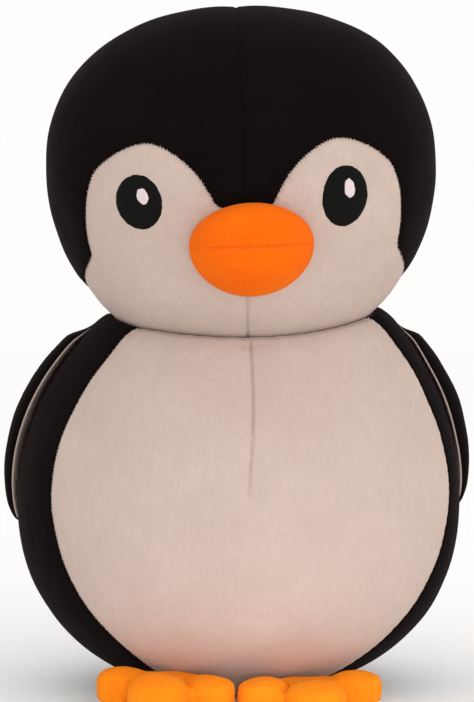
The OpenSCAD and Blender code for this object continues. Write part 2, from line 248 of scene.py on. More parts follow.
def mix(tree, fac, a, b):
    """Colour a where fac is 0 and b where it is 1. Each is a socket or a plain RGB colour."""
    node = add(tree, "ShaderNodeMix", data_type="RGBA")
    tree.links.new(fac, node.inputs[0])
    for value, socket in ((a, node.inputs[6]), (b, node.inputs[7])):
        if isinstance(value, tuple):
            socket.default_value = (*value, 1.0)
        else:
            tree.links.new(value, socket)
    return node.outputs[2]


def ramp(tree, fac, lo, hi, out_lo=0.0, out_hi=1.0):
    node = add(tree, "ShaderNodeMapRange")
    for key, value in (("From Min", lo), ("From Max", hi), ("To Min", out_lo), ("To Max", out_hi)):
        node.inputs[key].default_value = value
    tree.links.new(fac, node.inputs["Value"])
    return node.outputs["Result"]


def shade(colour, share):
    return tuple(share * c for c in colour)


def plush(name, base, nap, tint, sheen, sheen_rough=0.5, pile=0.00035):
    """Short dense pile: base colour, the colour where the nap is brushed the other way, and sheen."""
    mat, tree, bsdf = nodes_of(name)
    coord = add(tree, "ShaderNodeTexCoord").outputs["Object"]
    stretch = add(tree, "ShaderNodeMapping")
    stretch.inputs["Scale"].default_value = (1.0, 1.0, 0.35)
    tree.links.new(coord, stretch.inputs["Vector"])
    patches = ramp(tree, noise(tree, coord, 26.0, 3.0, 0.55), 0.35, 0.68)
    streaks = ramp(tree, noise(tree, stretch.outputs["Vector"], 260.0, 2.0, 0.6), 0.3, 0.7)
    tufts = ramp(tree, noise(tree, coord, 900.0, 2.0, 0.6), 0.25, 0.75)
    colour = mix(tree, patches, base, nap)
    colour = mix(tree, ramp(tree, streaks, 0.0, 1.0, 0.0, 0.35), colour, shade(base, 0.86))
    colour = mix(tree, ramp(tree, tufts, 0.0, 1.0, 0.28, 0.0), colour, shade(base, 0.7))
    tree.links.new(colour, bsdf.inputs["Base Color"])
    bsdf.inputs["Roughness"].default_value = 0.95
    bsdf.inputs["Specular IOR Level"].default_value = 0.04
    bsdf.inputs["Sheen Weight"].default_value = sheen
    bsdf.inputs["Sheen Roughness"].default_value = sheen_rough
    bsdf.inputs["Sheen Tint"].default_value = (*tint, 1.0)
    height = add(tree, "ShaderNodeMath", operation="ADD")
    tree.links.new(tufts, height.inputs[0])
    tree.links.new(streaks, height.inputs[1])
    bump = add(tree, "ShaderNodeBump", Strength=0.55, Distance=pile)
    tree.links.new(height.outputs["Value"], bump.inputs["Height"])
    tree.links.new(bump.outputs["Normal"], bsdf.inputs["Normal"])
    return mat


def thread(name, base, bright, sheen=0.2, shine=0.25):
    """Satin stitch: fine parallel threads with a soft gloss."""
    mat, tree, bsdf = nodes_of(name)
    coord = add(tree, "ShaderNodeTexCoord").outputs["Object"]
    wave = add(tree, "ShaderNodeTexWave", bands_direction="X", Scale=330.0, Distortion=2.5, Detail=2.0)
    tree.links.new(coord, wave.inputs["Vector"])
    fine = noise(tree, coord, 500.0, 3.0, 0.6)
    colour = mix(tree, wave.outputs["Fac"], base, bright)
    colour = mix(tree, ramp(tree, fine, 0.3, 0.7, 0.0, 0.4), colour, base)
    tree.links.new(colour, bsdf.inputs["Base Color"])
    bsdf.inputs["Roughness"].default_value = 0.62
    bsdf.inputs["Specular IOR Level"].default_value = shine
    bsdf.inputs["Sheen Weight"].default_value = sheen
    bump = add(tree, "ShaderNodeBump", Strength=0.5, Distance=0.0003)
    tree.links.new(wave.outputs["Fac"], bump.inputs["Height"])
    tree.links.new(bump.outputs["Normal"], bsdf.inputs["Normal"])
    return mat


BLACK = plush("black_plush", (0.0044, 0.0029, 0.0030), (0.0066, 0.0041, 0.0043),
              (0.6, 0.33, 0.34), 0.03, 0.4)
WHITE = plush("white_plush", (0.567, 0.446, 0.391), (0.607, 0.482, 0.424),
              (1.0, 0.86, 0.8), 0.06, 0.5)
ORANGE = plush("orange_plush", (0.92, 0.134, 0.004), (0.97, 0.17, 0.006),
               (1.0, 0.5, 0.1), 0.2, 0.35, 0.0004)
# The feet's orange is the beak's orange plush painted lighter and yellower, standing in for the light that
# falls on the toes.
ORANGE_PAINTED_LIGHTER = plush("orange_plush_feet_painted_lighter", (0.94, 0.235, 0.008), (0.98, 0.30, 0.013),
             (1.0, 0.5, 0.12), 0.18, 0.35, 0.0004)
FIBRE = plush("polyester_fibre", (0.82, 0.81, 0.79), (0.88, 0.87, 0.85), (1, 1, 1), 0.2, 0.6, 0.0008)
EYE = thread("eye_thread", (0.003, 0.0029, 0.0027), (0.006, 0.0058, 0.0054), sheen=0.0, shine=0.07)
GLINT = thread("glint_thread", (0.66, 0.55, 0.56), (0.8, 0.69, 0.7))
SEW_WHITE = thread("thread_pale", (0.42, 0.32, 0.28), (0.55, 0.44, 0.39))
SEW_ORANGE = thread("thread_rust", (0.42, 0.05, 0.004), (0.6, 0.1, 0.01))
SEW_BLACK = thread("thread_black", (0.004, 0.003, 0.003), (0.008, 0.006, 0.006), sheen=0.0, shine=0.05)

# ---- thread stitches ----

# Share of the thread's radius, and its height above the plush, along one stitch.
STITCH_THICK = (0.35, 0.85, 1.0, 0.85, 0.35)
STITCH_RISE = (-0.35, 0.0, 0.1, 0.0, -0.35)
STITCH_SIDES = 6


def stitches(name, line, step, length, radius, material, out_at, start=0.0):
    """Short thread stitches lying along a line, each a closed capsule. out_at gives the outward way."""
    pts, s = line.even(0.25)
    n = STITCH_SIDES
    verts, faces = [], []
    for s0 in np.arange(start, line.s[-1] - length, step):
        spots = s0 + length * np.linspace(0, 1, len(STITCH_RISE))
        path = np.stack([np.interp(spots, s, pts[:, k]) for k in range(3)], axis=-1)
        out = unit(out_at(path[2]))
        across = unit(np.cross(unit(path[-1] - path[0]), out))
        n0 = len(verts)
        for middle, thick, rise in zip(path, STITCH_THICK, STITCH_RISE):
            for c in range(n):
                a = 2 * math.pi * c / n
                verts.append(middle + out * (rise + radius * thick * math.sin(a))
                             + across * radius * thick * math.cos(a))
        last = n0 + (len(STITCH_RISE) - 1) * n
        for ring in range(n0, last, n):
            for c in range(n):
                after = (c + 1) % n
                faces.append([ring + c, ring + after, ring + n + after, ring + n + c])
        faces.append([n0 + c for c in range(n)][::-1])
        faces.append([last + c for c in range(n)])
    return make(name, verts, faces, material, 80)


# ---- head ----

# The head is a rounded block that blends below into a ball, on which it nods in the body's cup.
# Half width, half depth, height above and below the middle, and how full its corners are.
HEAD_SIDE, HEAD_DEEP, HEAD_UP, HEAD_DOWN, HEAD_ROUND = 127.3, 116.0, 105.6, 113.5, 2.3
BALL = 128.0
CUP = BALL + 0.6
HEAD_C = np.array([0.7, MID_Y - 18.0, 344.4])
LEAN, TIP, TURN = math.radians(1.8), math.radians(10.7), math.radians(-1.3)
# Degrees below the middle where each change starts, and over how many it happens: the block
# turns into the ball, nothing stands out past the ball, and the surface is a plain ball.
TO_BALL, WITHIN_BALL, PLAIN_BALL = (22, 26), (4, 22), (28, 10)
# Lower edge of the hood and face, under the head where the neck hides it.
HEM_EL, HEM_WAVE = -64, 6

# Edge of the white face: azimuth from the middle and elevation, in degrees.
FACE_EDGE = np.array([
    [0, -4], [8.5, -3], [10.7, 0.8], [14.4, 6.5], [18, 10], [22, 12.7], [25.6, 14.4],
    [29.6, 15.3], [33, 14.9], [37.2, 13.4], [41.6, 11], [45.4, 8.2], [47.8, 5.8],
    [49.6, 2.2], [50.9, -1], [51.8, -4.5], [52.6, -8.5], [53.4, -12.2], [54.1, -15.6],
    [54.7, -18.7], [56, -20.6], [58.8, -22.6], [65.2, -26.7], [71.8, -30.3], [82, -37],
    [94, -46.5], [104, -56], [112, -66.25],
])
FACE_END = 112

# Each seam here and on the body: depth and width of its crease, depth and width of the dip round
# it, and depth of its puckers.
FACE_SEAM = (1.3, 1.5, 1.1, 8.0, 0.22)
CROWN_SEAM = (0.9, 1.1, 0.6, 7.0, 0.1)
CHIN_SEAM = (1.2, 0.9, 0.7, 5.0, 0.12)


def face_dir(az, el):
    """Direction from the head's middle. The face looks a little down, by TIP."""
    x, y, z = cosd(el) * sind(az), -cosd(el) * cosd(az), sind(el)
    c, s = math.cos(TIP), math.sin(TIP)
    return np.stack(np.broadcast_arrays(x, y * c - z * s, y * s + z * c), axis=-1)


def below_middle(d):
    """Degrees of a direction below the middle."""
    return -np.degrees(np.arcsin(np.clip(d[..., 2], -1, 1)))


def head_r(d):
    """How far the plain head reaches in each direction."""
    half = np.where(d[..., 2] > 0, HEAD_UP, HEAD_DOWN)
    side = np.abs(d[..., 0]) / HEAD_SIDE
    rest = np.hypot(d[..., 1] / HEAD_DEEP, d[..., 2] / half)
    r = (side**HEAD_ROUND + rest**HEAD_ROUND) ** (-1 / HEAD_ROUND)
    full = r + (BALL - r) * past(below_middle(d), *TO_BALL)
    return full - np.maximum(0, full - BALL) * past(below_middle(d), *WITHIN_BALL)


def through(pts, n):
    """A smooth curve through a few points, as n + 1 points at even chord steps."""
    chord = np.concatenate([[0], np.cumsum(np.linalg.norm(np.diff(pts, axis=0), axis=1))])
    slope = np.gradient(pts, chord, axis=0)
    at = np.linspace(0, chord[-1], n + 1)
    i = np.clip(np.searchsorted(chord, at, side="right") - 1, 0, len(pts) - 2)
    h = (chord[i + 1] - chord[i])[:, None]
    t = ((at - chord[i]) / h[:, 0])[:, None]
    return (
        (2 * t**3 - 3 * t**2 + 1) * pts[i] + (t**3 - 2 * t**2 + t) * h * slope[i]
        + (-2 * t**3 + 3 * t**2) * pts[i + 1] + (t**3 - t**2) * h * slope[i + 1]
    )


EDGE = through(FACE_EDGE, 900)
EDGE[:, 0] = np.maximum.accumulate(EDGE[:, 0])


def hem_el(az):
    return HEM_EL + HEM_WAVE * cosd(az)


def edge_el(az):
    """Lower edge of the hood: along the face, then along the hem at the back."""
    a = np.abs(az)
    return np.where(a < FACE_END, np.interp(a, EDGE[:, 0], EDGE[:, 1]), hem_el(a))


def head_line(az, el):
    d = face_dir(az, el)
    return Line(d * head_r(d)[..., None])


SEAM_L = head_line(EDGE[:, 0], EDGE[:, 1])
SEAM_R = head_line(-EDGE[:, 0], EDGE[:, 1])
CROWN = head_line(np.concatenate([np.zeros(200), np.full(240, 180.0)]),
                  np.concatenate([np.linspace(-4, 90, 200), np.linspace(89.5, -68, 240)]))
CHIN = head_line(np.zeros(200), np.linspace(-8, -52, 200))


def head_at(az, el, lift=0.0):
    """Points of the finished head surface, before it is leaned and put in place."""
    d = face_dir(np.asarray(az, float), np.asarray(el, float))
    p = d * head_r(d)[..., None]
    pull = np.where(p[..., 0] >= 0, pinch(SEAM_L, p, *FACE_SEAM), pinch(SEAM_R, p, *FACE_SEAM))
    pull += pinch(CROWN, p, *CROWN_SEAM)
    pull += pinch(CHIN, p, *CHIN_SEAM)
    bumps = 0.55 * waves(p, 75, 3) + 0.22 * waves(p, 26, 4)
    r = head_r(d) + bumps - pull + lift
    low = past(below_middle(d), *PLAIN_BALL)
    r = r * (1 - low) + np.minimum(r, BALL - 0.1 + np.minimum(lift, 0)) * low
    return d * r[..., None]


def place_head(p):
    """Leans and turns the head, and puts it on the neck."""
    c, s = math.cos(LEAN), math.sin(LEAN)
    x, y, z = p[..., 0] * c - p[..., 2] * s, p[..., 1], p[..., 0] * s + p[..., 2] * c
    c, s = math.cos(TURN), math.sin(TURN)
    return np.stack([x * c - y * s, x * s + y * c, z], axis=-1) + HEAD_C


def out_of_head(p):
    return unit(p - HEAD_C)


# Columns of the head's grids: close together at the seams in the middle, then at the face's edge.
NEAR_MIDDLE = np.array([0, 0.15, 0.3, 0.5, 0.75, 1.05, 1.4, 1.9, 2.5, 3.3, 4.2, 5.2, 6.3, 7.4])
edge_az = EDGE[::3, 0]
AZ = np.unique(np.round(np.concatenate([NEAR_MIDDLE, edge_az[edge_az > 8.2], [FACE_END]]), 3))
AZ_BACK = np.concatenate([np.linspace(113.5, 171, 40), 180 - NEAR_MIDDLE[::-1]])


def head_panel(name, side, az, el, material, **closed):
    az = np.broadcast_to(az, el.shape)
    if side < 0:
        az, el = -az[:, ::-1], el[:, ::-1]
    out, inn = place_head(head_at(az, el)), place_head(head_at(az, el, -PLUSH))
    return sheet(name, out, inn, material, **closed)


def hood(name, side):
    az = np.concatenate([AZ, AZ_BACK])[None, :]
    el = 90 + (edge_el(az) - 90) * outward_steps(90, 1.35)[:, None]
    return head_panel(name, side, az, el, BLACK, first=True)


def face(name, side):
    az = AZ[:, None]
    el = hem_el(az) + (edge_el(az) - hem_el(az)) * outward_steps(70, 1.3)[None, :]
    return head_panel(name, side, az, el, WHITE, last=True)


for word, side in SIDES:
    finish(hood("hood_%s_skin" % word, side), "head", "black_plush", "hood_" + word, fill=1.0)
for word, side in SIDES:
    finish(face("face_%s_skin" % word, side), "head", "white_plush", "face_" + word, fill=1.0)

# ---- eyes ----

# Embroidered ovals: azimuth and elevation on the face, half width and half height in degrees,
# tilt, and seed of the uneven edge.
EYES = {"left": (30.3, -1.8, 7.1, 8.9, -3.0, 6), "right": (-31.7, -1.8, 7.1, 8.0, 3.0, 4)}
GLINTS = {"left": (31.3, 0.5, 1.7, 2.8, 4.0, 11), "right": (-30.1, 0.1, 1.75, 2.4, 12.0, 12)}


def oval(name, az, el, half_w, half_h, tilt, seed, base, top, material, ragged, rings=22, cols=112):
    """An oval of raised embroidery that follows the face, from base to top in mm above it."""
    s = np.linspace(0, 1, rings + 1)[:, None] ** 0.8
    a = np.arange(cols)[None, :] * 360.0 / cols
    rough = np.tile(np.random.RandomState(seed).uniform(-1, 1, cols), 3)
    edge = 1 + ragged * np.convolve(rough, [0.25, 0.5, 0.25], "same")[cols:2 * cols]
    u, v = half_w * cosd(a) * s * edge, half_h * sind(a) * s * edge
    u, v = u * cosd(tilt) - v * sind(tilt), u * sind(tilt) + v * cosd(tilt)
    high = base + (top - base) * (1 - s**7) ** 0.5 * (0.8 + 0.2 * (1 - s * s)) * np.ones_like(a)
    plain = head_at(az + u, el + v)
    d = unit(plain)
    out, inn = plain + d * high[..., None], plain + d * (base - 0.6)
    return sheet(name, place_head(out), place_head(inn), material, first=True, ring=True)


for word, place in EYES.items():
    finish(oval("eye_%s_embroidery" % word, *place, 0.0, 1.2, EYE, 0.02),
           "head", "eye_thread", "eye_" + word)
for word, place in GLINTS.items():
    finish(oval("eye_glint_%s_embroidery" % word, *place, 1.0, 1.7, GLINT, 0.1, 8, 36),
           "head", "glint_thread", "eye_glint_" + word)

# ---- beak ----

# Place on the face and half sizes in degrees, and how far it stands out in mm.
BEAK_AZ, BEAK_EL, BEAK_W, BEAK_H, BEAK_OUT = 1.9, -16.6, 19.8, 14.3, 32.0
# Half width that insets and puckers are measured against, and half height, in mm.
BEAK_ACROSS, BEAK_WIDE, BEAK_HIGH = 37, 38, 29
# The way it sticks out, 4 degrees up, and the point inside that its surface is pushed away from.
BEAK_WAY = np.array([0, -cosd(4), sind(4)])
BEAK_ROOT = np.array([0, -70.0, -50.0])


def beak_at(s, a, inset=0.0):
    """Point of the beak at share s out from its tip, at angle a round it."""
    k = s * (1 - inset / BEAK_ACROSS)
    d = face_dir(BEAK_AZ + k * BEAK_W * cosd(a), BEAK_EL - 0.9 * (1 - s * s) + k * BEAK_H * sind(a))
    base = d * (head_r(d) - 0.8)[..., None]
    up = np.maximum(0, 1 - s**2.4) ** 0.5
    p = base + ((BEAK_OUT + 0.6 - inset) * up)[..., None] * BEAK_WAY
    off = np.abs(k * BEAK_HIGH * sind(a))
    pull = 0.9 * bell(off, 1.0) + 0.9 * bell(off, 5.0)
    ripple = np.sin(k * BEAK_WIDE * cosd(a) * 2 * math.pi / 6.5 + 1.3 * np.sin(a / 23.0))
    pull = pull + 0.16 * np.exp(-off / 6) * ripple
    bumps = 0.35 * waves(p, 30, 8) + 0.12 * waves(p, 9, 9)
    return p + unit(p - BEAK_ROOT) * ((bumps - pull) * up * (inset == 0))[..., None]


def beak(name, a0, a1):
    s, a = np.broadcast_arrays(outward_steps(60, 1.5)[:, None],
                               a0 + (a1 - a0) * denser(120, 0.85)[None, :])
    return sheet(name, place_head(beak_at(s, a)), place_head(beak_at(s, a, PLUSH)), ORANGE, first=True)


for name, a0, a1 in (("beak_upper", 0, 180), ("beak_lower", 180, 360)):
    finish(beak(name + "_skin", a0, a1), "head", "orange_plush", name, fill=0.9)

share = np.concatenate([np.linspace(0.97, 0.02, 90), -np.linspace(0.02, 0.97, 90)])
beak_seam = Line(place_head(beak_at(np.abs(share), np.where(share > 0, 0.0, 180.0))))
finish(stitches("beak_stitches", beak_seam, 3.0, 1.7, 0.26, SEW_ORANGE,
                lambda p: np.array([0.0, -1.0, 0.0])), "head", "orange_plush")
chin_seam = Line(place_head(head_at(np.zeros(60), np.linspace(-33, -48, 60))))
finish(stitches("chin_stitches", chin_seam, 2.8, 1.5, 0.2, SEW_WHITE, out_of_head),
       "head", "white_plush")

# ---- body ----

# Half width and half depth, height of the widest place, height above and below it, and how full
# the lower half is. The top leans to the penguin's left.
BODY_W, BODY_D, BODY_Z, BODY_UP, BODY_DOWN, BODY_FULL = 147.3, 124.0, 126.0, 157.5, 130.5, 2.2
BODY_LEAN = 9.0
# Middle of the belly panel, a little to the penguin's left, and its half width, in degrees.
BELLY_TURN, BELLY_HALF = 5.3, 62.5
# Height where the belly panel is widest, the reach from there up to the neck, and how many degrees
# narrower each side is at the neck and at the floor.
BELLY_Z, BELLY_UP, LESS_AT_NECK, LESS_AT_FLOOR = 150, 93, 9, 25
BELLY_SEAM = (1.2, 1.5, 1.0, 9.0, 0.2)
BACK_SEAM = (0.9, 1.1, 0.7, 8.0, 0.12)
# The dart: share of the way down where it ends, depth and width of its crease and of the dip round
# it, and depth and width of the dimple at its end.
DART_END, DART_SEAM, DIMPLE = 0.34, (1.5, 0.9, 1.3, 7.0), (1.6, 6.0)
# Width below the neck over which the back seam and the dart fade in.
SEAM_FADE = 7.0
# The base disc: thickness, and the share of its size that its inner face has across and in depth.
BASE_THICK, BASE_ACROSS, BASE_DEEP = 1.9, 0.987, 0.985


def body_at(phi, t):
    """Plain body at angle phi round it from the front and angle t above its widest place."""
    n = np.where(t > 0, 2.0, BODY_FULL)
    flat = np.abs(cosd(t)) ** (2 / n)
    high = np.sign(t) * np.abs(sind(t)) ** (2 / n)
    return np.stack(np.broadcast_arrays(
        BODY_W * flat * sind(phi) + BODY_LEAN * np.maximum(0, sind(t)) ** 2,
        MID_Y - BODY_D * flat * cosd(phi),
        BODY_Z + np.where(t > 0, BODY_UP, BODY_DOWN) * high), axis=-1)


def body_normal(p):
    y, z = p[..., 1] - MID_Y, p[..., 2] - BODY_Z
    x = p[..., 0] - BODY_LEAN * (np.maximum(0, z) / BODY_UP) ** 2
    rho = np.maximum(np.hypot(x / BODY_W, y / BODY_D), 1e-6)
    n = np.where(z < 0, BODY_FULL, 2.0)
    h = np.where(z < 0, BODY_DOWN, BODY_UP)
    g = rho ** (n - 2)
    return unit(np.stack([g * x / BODY_W**2, g * y / BODY_D**2,
                          np.sign(z) * np.abs(z) ** (n - 1) / h**n], axis=-1))


FLOOR_T = -math.degrees(math.asin((BODY_Z / BODY_DOWN) ** (BODY_FULL / 2)))


def neck_t(phi):
    """Where the body meets the neck's cup, found by halving."""
    phi = np.asarray(phi, float)
    lo, hi = np.full(phi.shape, 15.0), np.full(phi.shape, 82.0)
    for _ in range(22):
        m = (lo + hi) / 2
        outside = np.linalg.norm(body_at(phi, m) - HEAD_C, axis=-1) > CUP
        lo, hi = np.where(outside, m, lo), np.where(outside, hi, m)
    return (lo + hi) / 2


def body_point(phi, f):
    """Plain body at share f of the way from the neck down to the floor."""
    top = neck_t(phi)
    return body_at(phi, top + (FLOOR_T - top) * f)


def belly_phi(f):
    """Half width of the belly panel in degrees: it narrows a little upwards, and more downwards."""
    z = body_point(np.array(48.0), f)[..., 2]
    return BELLY_HALF - np.where(z > BELLY_Z, LESS_AT_NECK * ((z - BELLY_Z) / BELLY_UP) ** 2,
                                 LESS_AT_FLOOR * ((BELLY_Z - z) / BELLY_Z) ** 2)


def dart_phi(f):
    """The belly dart bows a little to the penguin's left."""
    u = np.clip(f / DART_END, 0, 1)
    return -0.3 + 0.9 * u + 1.3 * np.sin(math.pi * u)


DOWN = np.linspace(0, 1, 400)
DOWN_DART = np.linspace(0, DART_END, 240)
ROUND = np.linspace(-180, 180, 721)
BELLY_L = Line(body_point(BELLY_TURN + belly_phi(DOWN), DOWN))
BELLY_R = Line(body_point(BELLY_TURN - belly_phi(DOWN), DOWN))
BACK = Line(body_point(np.full(DOWN.shape, 180.0), DOWN))
NECK = Line(body_point(ROUND, np.zeros(ROUND.shape)))
DART = Line(body_point(dart_phi(DOWN_DART), DOWN_DART))


def dart_pull(p, below_neck):
    """How far the dart pulls the belly in. It eases off towards its lower end, which is a dimple."""
    depth, width, soft, soft_width = DART_SEAM
    dimple, dimple_width = DIMPLE
    dist, along = DART.near(p)
    ease = (smooth((DART.s[-1] - along) / 25.0) * 0.6 + 0.4) * below_neck
    ripple = np.sin(along / 1.15 + 1.2 * np.sin(along / 11)) * np.exp(-dist / 7) * smooth(dist / 1.5)
    end = np.linalg.norm(p - DART.pts[-1], axis=-1)
    return (
        ease * (depth * bell(dist, width) + soft * bell(dist, soft_width))
        + dimple * bell(end, dimple_width)
        + 0.16 * ripple
    )


def neck_pull(rim, along):
    """The neck's crease, the roll below it, and the gathers across it."""
    gathers = np.sin(along / 2.1 + 2 * np.sin(along / 17)) * np.exp(-rim / 8)
    return 2.4 * bell(rim, 2.4) - 1.1 * bell(rim - 12, 9.0) + 0.25 * gathers


def body_skin(phi, f, lift=0.0):
    """Points of the finished body surface."""
    p = body_point(phi, f)
    pull = np.where(p[..., 0] >= 0, pinch(BELLY_L, p, *BELLY_SEAM), pinch(BELLY_R, p, *BELLY_SEAM))
    rim, along = NECK.near(p)
    below_neck = smooth(rim / SEAM_FADE)
    pull += below_neck * pinch(BACK, p, *BACK_SEAM)
    pull += dart_pull(p, below_neck)
    pull += neck_pull(rim, along)
    bumps = 0.6 * waves(p, 85, 21) + 0.2 * waves(p, 28, 22)
    above_floor = smooth(p[..., 2] / 14.0)
    q = p + body_normal(p) * (((bumps - pull) * above_floor + lift)[..., None])
    off = q - HEAD_C
    far = np.linalg.norm(off, axis=-1, keepdims=True)
    return np.where(far < CUP, HEAD_C + off / far * CUP, q)


ROWS = np.concatenate([np.linspace(0, 0.035, 12), np.linspace(0.035, 1, 150)[1:]])


def panel(name, phis, material):
    f = np.broadcast_to(ROWS[:, None], phis.shape)
    return sheet(name, body_skin(phis, f), body_skin(phis, f, -PLUSH), material)


def belly_columns():
    """Angles of the belly's columns: close together at both edges and along the dart."""
    u = np.linspace(0, 1, 141)
    u = (u - 0.78 * np.sin(4 * math.pi * u) / (4 * math.pi)) * 2 - 1
    phis = BELLY_TURN + belly_phi(ROWS)[:, None] * u[None, :]
    return phis + (dart_phi(ROWS)[:, None] - BELLY_TURN) * (1 - u[None, :] ** 2) ** 4


def side_columns():
    """Angles of both sides' columns, from the belly's edge to the back, and on to the other edge."""
    half = belly_phi(ROWS)[:, None]
    across = denser(130)[None, :]
    left = BELLY_TURN + half + (180 - half - BELLY_TURN) * across
    right = -180 + (180 - half + BELLY_TURN) * across
    return left, right


def base_disc(name, phis):
    """Flat disc that the penguin stands on, with the same points round its edge as the panels."""
    share = np.array([1, 0.97, 0.9, 0.75, 0.5, 0.25, 0.0])[:, None, None]
    middle = np.array([0, MID_Y, 0.0])
    low = middle + share * (body_at(phis, FLOOR_T)[None] - middle)
    low[..., 2] = 0.0
    inner = low * [BASE_ACROSS, 1, 1] + [0, 0, BASE_THICK]
    inner[..., 1] = MID_Y + (low[..., 1] - MID_Y) * BASE_DEEP
    return sheet(name, low, inner, BLACK, last=True, ring=True)


belly_phis = belly_columns()
left_phis, right_phis = side_columns()
base_phis = np.concatenate([belly_phis[-1], left_phis[-1, 1:], right_phis[-1, 1:-1] + 360])
finish(panel("belly_skin", belly_phis, WHITE), "body", "white_plush", "belly_panel", fill=0.95)
finish(panel("side_left_skin", left_phis, BLACK), "body", "black_plush", "side_left", fill=0.95)
finish(panel("side_right_skin", right_phis, BLACK), "body", "black_plush", "side_right", fill=0.95)
finish(base_disc("base_skin", base_phis), "body", "black_plush", "base_panel", fill=0.95)
dart_seam = Line(body_skin(dart_phi(DOWN_DART), DOWN_DART))
finish(stitches("dart_stitches", dart_seam, 2.9, 1.5, 0.2, SEW_WHITE,
                lambda p: np.array([0.0, -1.0, 0.1]), 3.0), "body", "white_plush")

# ---- pile across the black and white seams ----

# Tufts of pile: mean step between them, shortest, longest, and width, in mm.
FACE_PILE = {"black": (2.1, 0.9, 2.0, 1.5), "white": (2.3, 0.5, 1.2, 1.4)}
BELLY_PILE = {"black": (2.3, 0.9, 2.2, 1.5), "white": (2.4, 0.5, 1.2, 1.4)}
TUFT_STEP = 0.5
# The face's pile starts at this point of its edge, clear of the seam in the middle.
PILE_FROM = 40


def teeth(name, line, out_at, black_at, material, into_white, seed, step, short, long, width):
    """Small closed tufts of pile that lie across a seam.

    out_at gives the outward way at a point, and black_at the way over the seam into the black.
    """
    rng = np.random.RandomState(seed)
    pts, _ = line.even(TUFT_STEP)
    verts, faces = [], []
    s0 = 1.0
    while s0 < line.s[-1] - 1.5:
        i = int(s0 / TUFT_STEP)
        p, way = pts[i], unit(pts[min(i + 1, len(pts) - 1)] - pts[max(i - 1, 0)])
        out = out_at(p)
        black = unit(black_at(p, way, out))
        aim = -black if into_white else black
        aim = unit(aim + way * rng.uniform(-0.55, 0.55))
        size = rng.uniform(short, long)
        root = p - aim * 0.9 + out * 0.1
        tip = p + aim * size + out * 0.35
        across = unit(np.cross(aim, out)) * width * rng.uniform(0.7, 1.15) / 2
        n = len(verts)
        verts += [root + across - out * 0.5, root - across - out * 0.5, root + out * 0.55, tip]
        faces += [[n, n + 1, n + 2], [n, n + 3, n + 1], [n + 1, n + 3, n + 2], [n + 2, n + 3, n]]
        s0 += step * rng.uniform(0.7, 1.3)
    return make(name, verts, faces, material, 30)


def pile(seam, word, body, line, out_at, black_at, tufts, seeds):
    """Black tufts that lie into the white and white tufts that lie into the black, along one seam."""
    for colour, material in (("black", BLACK), ("white", WHITE)):
        finish(teeth("%s_pile_%s_%s" % (seam, colour, word), line, out_at, black_at, material,
                     colour == "black", seeds[colour], *tufts[colour]), body, colour + "_plush")


def face_pile(word, side, seeds):
    az, el = EDGE[PILE_FROM:, 0] * side, EDGE[PILE_FROM:, 1]
    above = Line(place_head(head_at(az, el + 1.2)))

    def into_hood(p, way, out):
        across = np.cross(way, out)
        found = np.array(above.tree.find(p)[0])
        return across if np.dot(across, found - p) > 0 else -across

    line = Line(place_head(head_at(az, el)))
    pile("face", word, "head", line, out_of_head, into_hood, FACE_PILE, seeds)


def belly_pile(word, side, seeds):
    def into_side(p, way, out):
        across = np.cross(way, out)
        return across if np.dot(across, [side, 0.4, 0]) > 0 else -across

    line = Line(body_skin(BELLY_TURN + side * belly_phi(DOWN), DOWN))
    pile("belly", word, "body", line, body_normal, into_side, BELLY_PILE, seeds)


face_pile("left", 1, {"black": 31, "white": 32})
face_pile("right", -1, {"black": 33, "white": 34})
for word, side in SIDES:
    belly_pile(word, side, {"black": 41 + side, "white": 45 + side})

# ---- flippers ----

# Half width, half width at the root, half thickness of the batting, thickness of the cloth, angle
# round the body, and angles of the root and of each tip above the body's widest place.
WING_W, WING_ROOT, WING_T, WING_CLOTH = 33.0, 23.0, 4.8, 1.5
WING_PHI, ROOT_T, TIP_T = 99.0, 47.0, {1: -2.5, -1: -6.0}
# How far the front edge stands out, and the gap to the body.
FLARE = {1: -2.0, -1: 0.6}
WING_GAP = 0.8
# Share of the way down where the flipper is widest, and degrees in a radian.
WING_WIDEST, DEGREES = 0.35, 57.3


def wing_half(v):
    """Half width at share v from the root to the tip."""
    before = np.maximum(WING_WIDEST - v, 0) / WING_WIDEST
    after = np.maximum(v - WING_WIDEST, 0) / (1 - WING_WIDEST)
    near = WING_W - (WING_W - WING_ROOT) * before**2
    far = WING_W * np.maximum(0, 1 - after**2.2) ** 0.6
    return np.where(v < WING_WIDEST, near, far)


def past_root(v):
    """Rises from nearly 0 at the root seam to 1."""
    return smooth(v / 0.14 + 0.05)


def batting(u, v):
    """Half thickness of the batting at share u across and v down."""
    down = np.where(v < 0.5, 0.5 + 0.5 * smooth(v / 0.5),
                    np.sqrt(np.maximum(0, 1 - (np.maximum(v - 0.5, 0) / 0.5) ** 2)))
    return WING_T * np.sqrt(np.maximum(0, 1 - u * u)) * down * past_root(v)


def wing_at(side, u, v, lift):
    """Point of the flipper, which lies against the body. lift is measured from its middle layer."""
    u, v = np.broadcast_arrays(u, v)
    t = ROOT_T + (TIP_T[side] - ROOT_T) * v
    off = WING_GAP + WING_CLOTH + (batting(0 * u, v) + batting(u, v)) / 2
    off = off + FLARE[side] * ((1 - side * u) / 2) ** 6 * smooth(v / 0.3) * smooth((1 - v) / 0.4)
    off = 0.9 + (off - 0.9) * past_root(v)
    p = body_at(side * WING_PHI + u * wing_half(v) / (BODY_W * cosd(t)) * DEGREES, t)
    return p + body_normal(p) * (off + lift)[..., None]


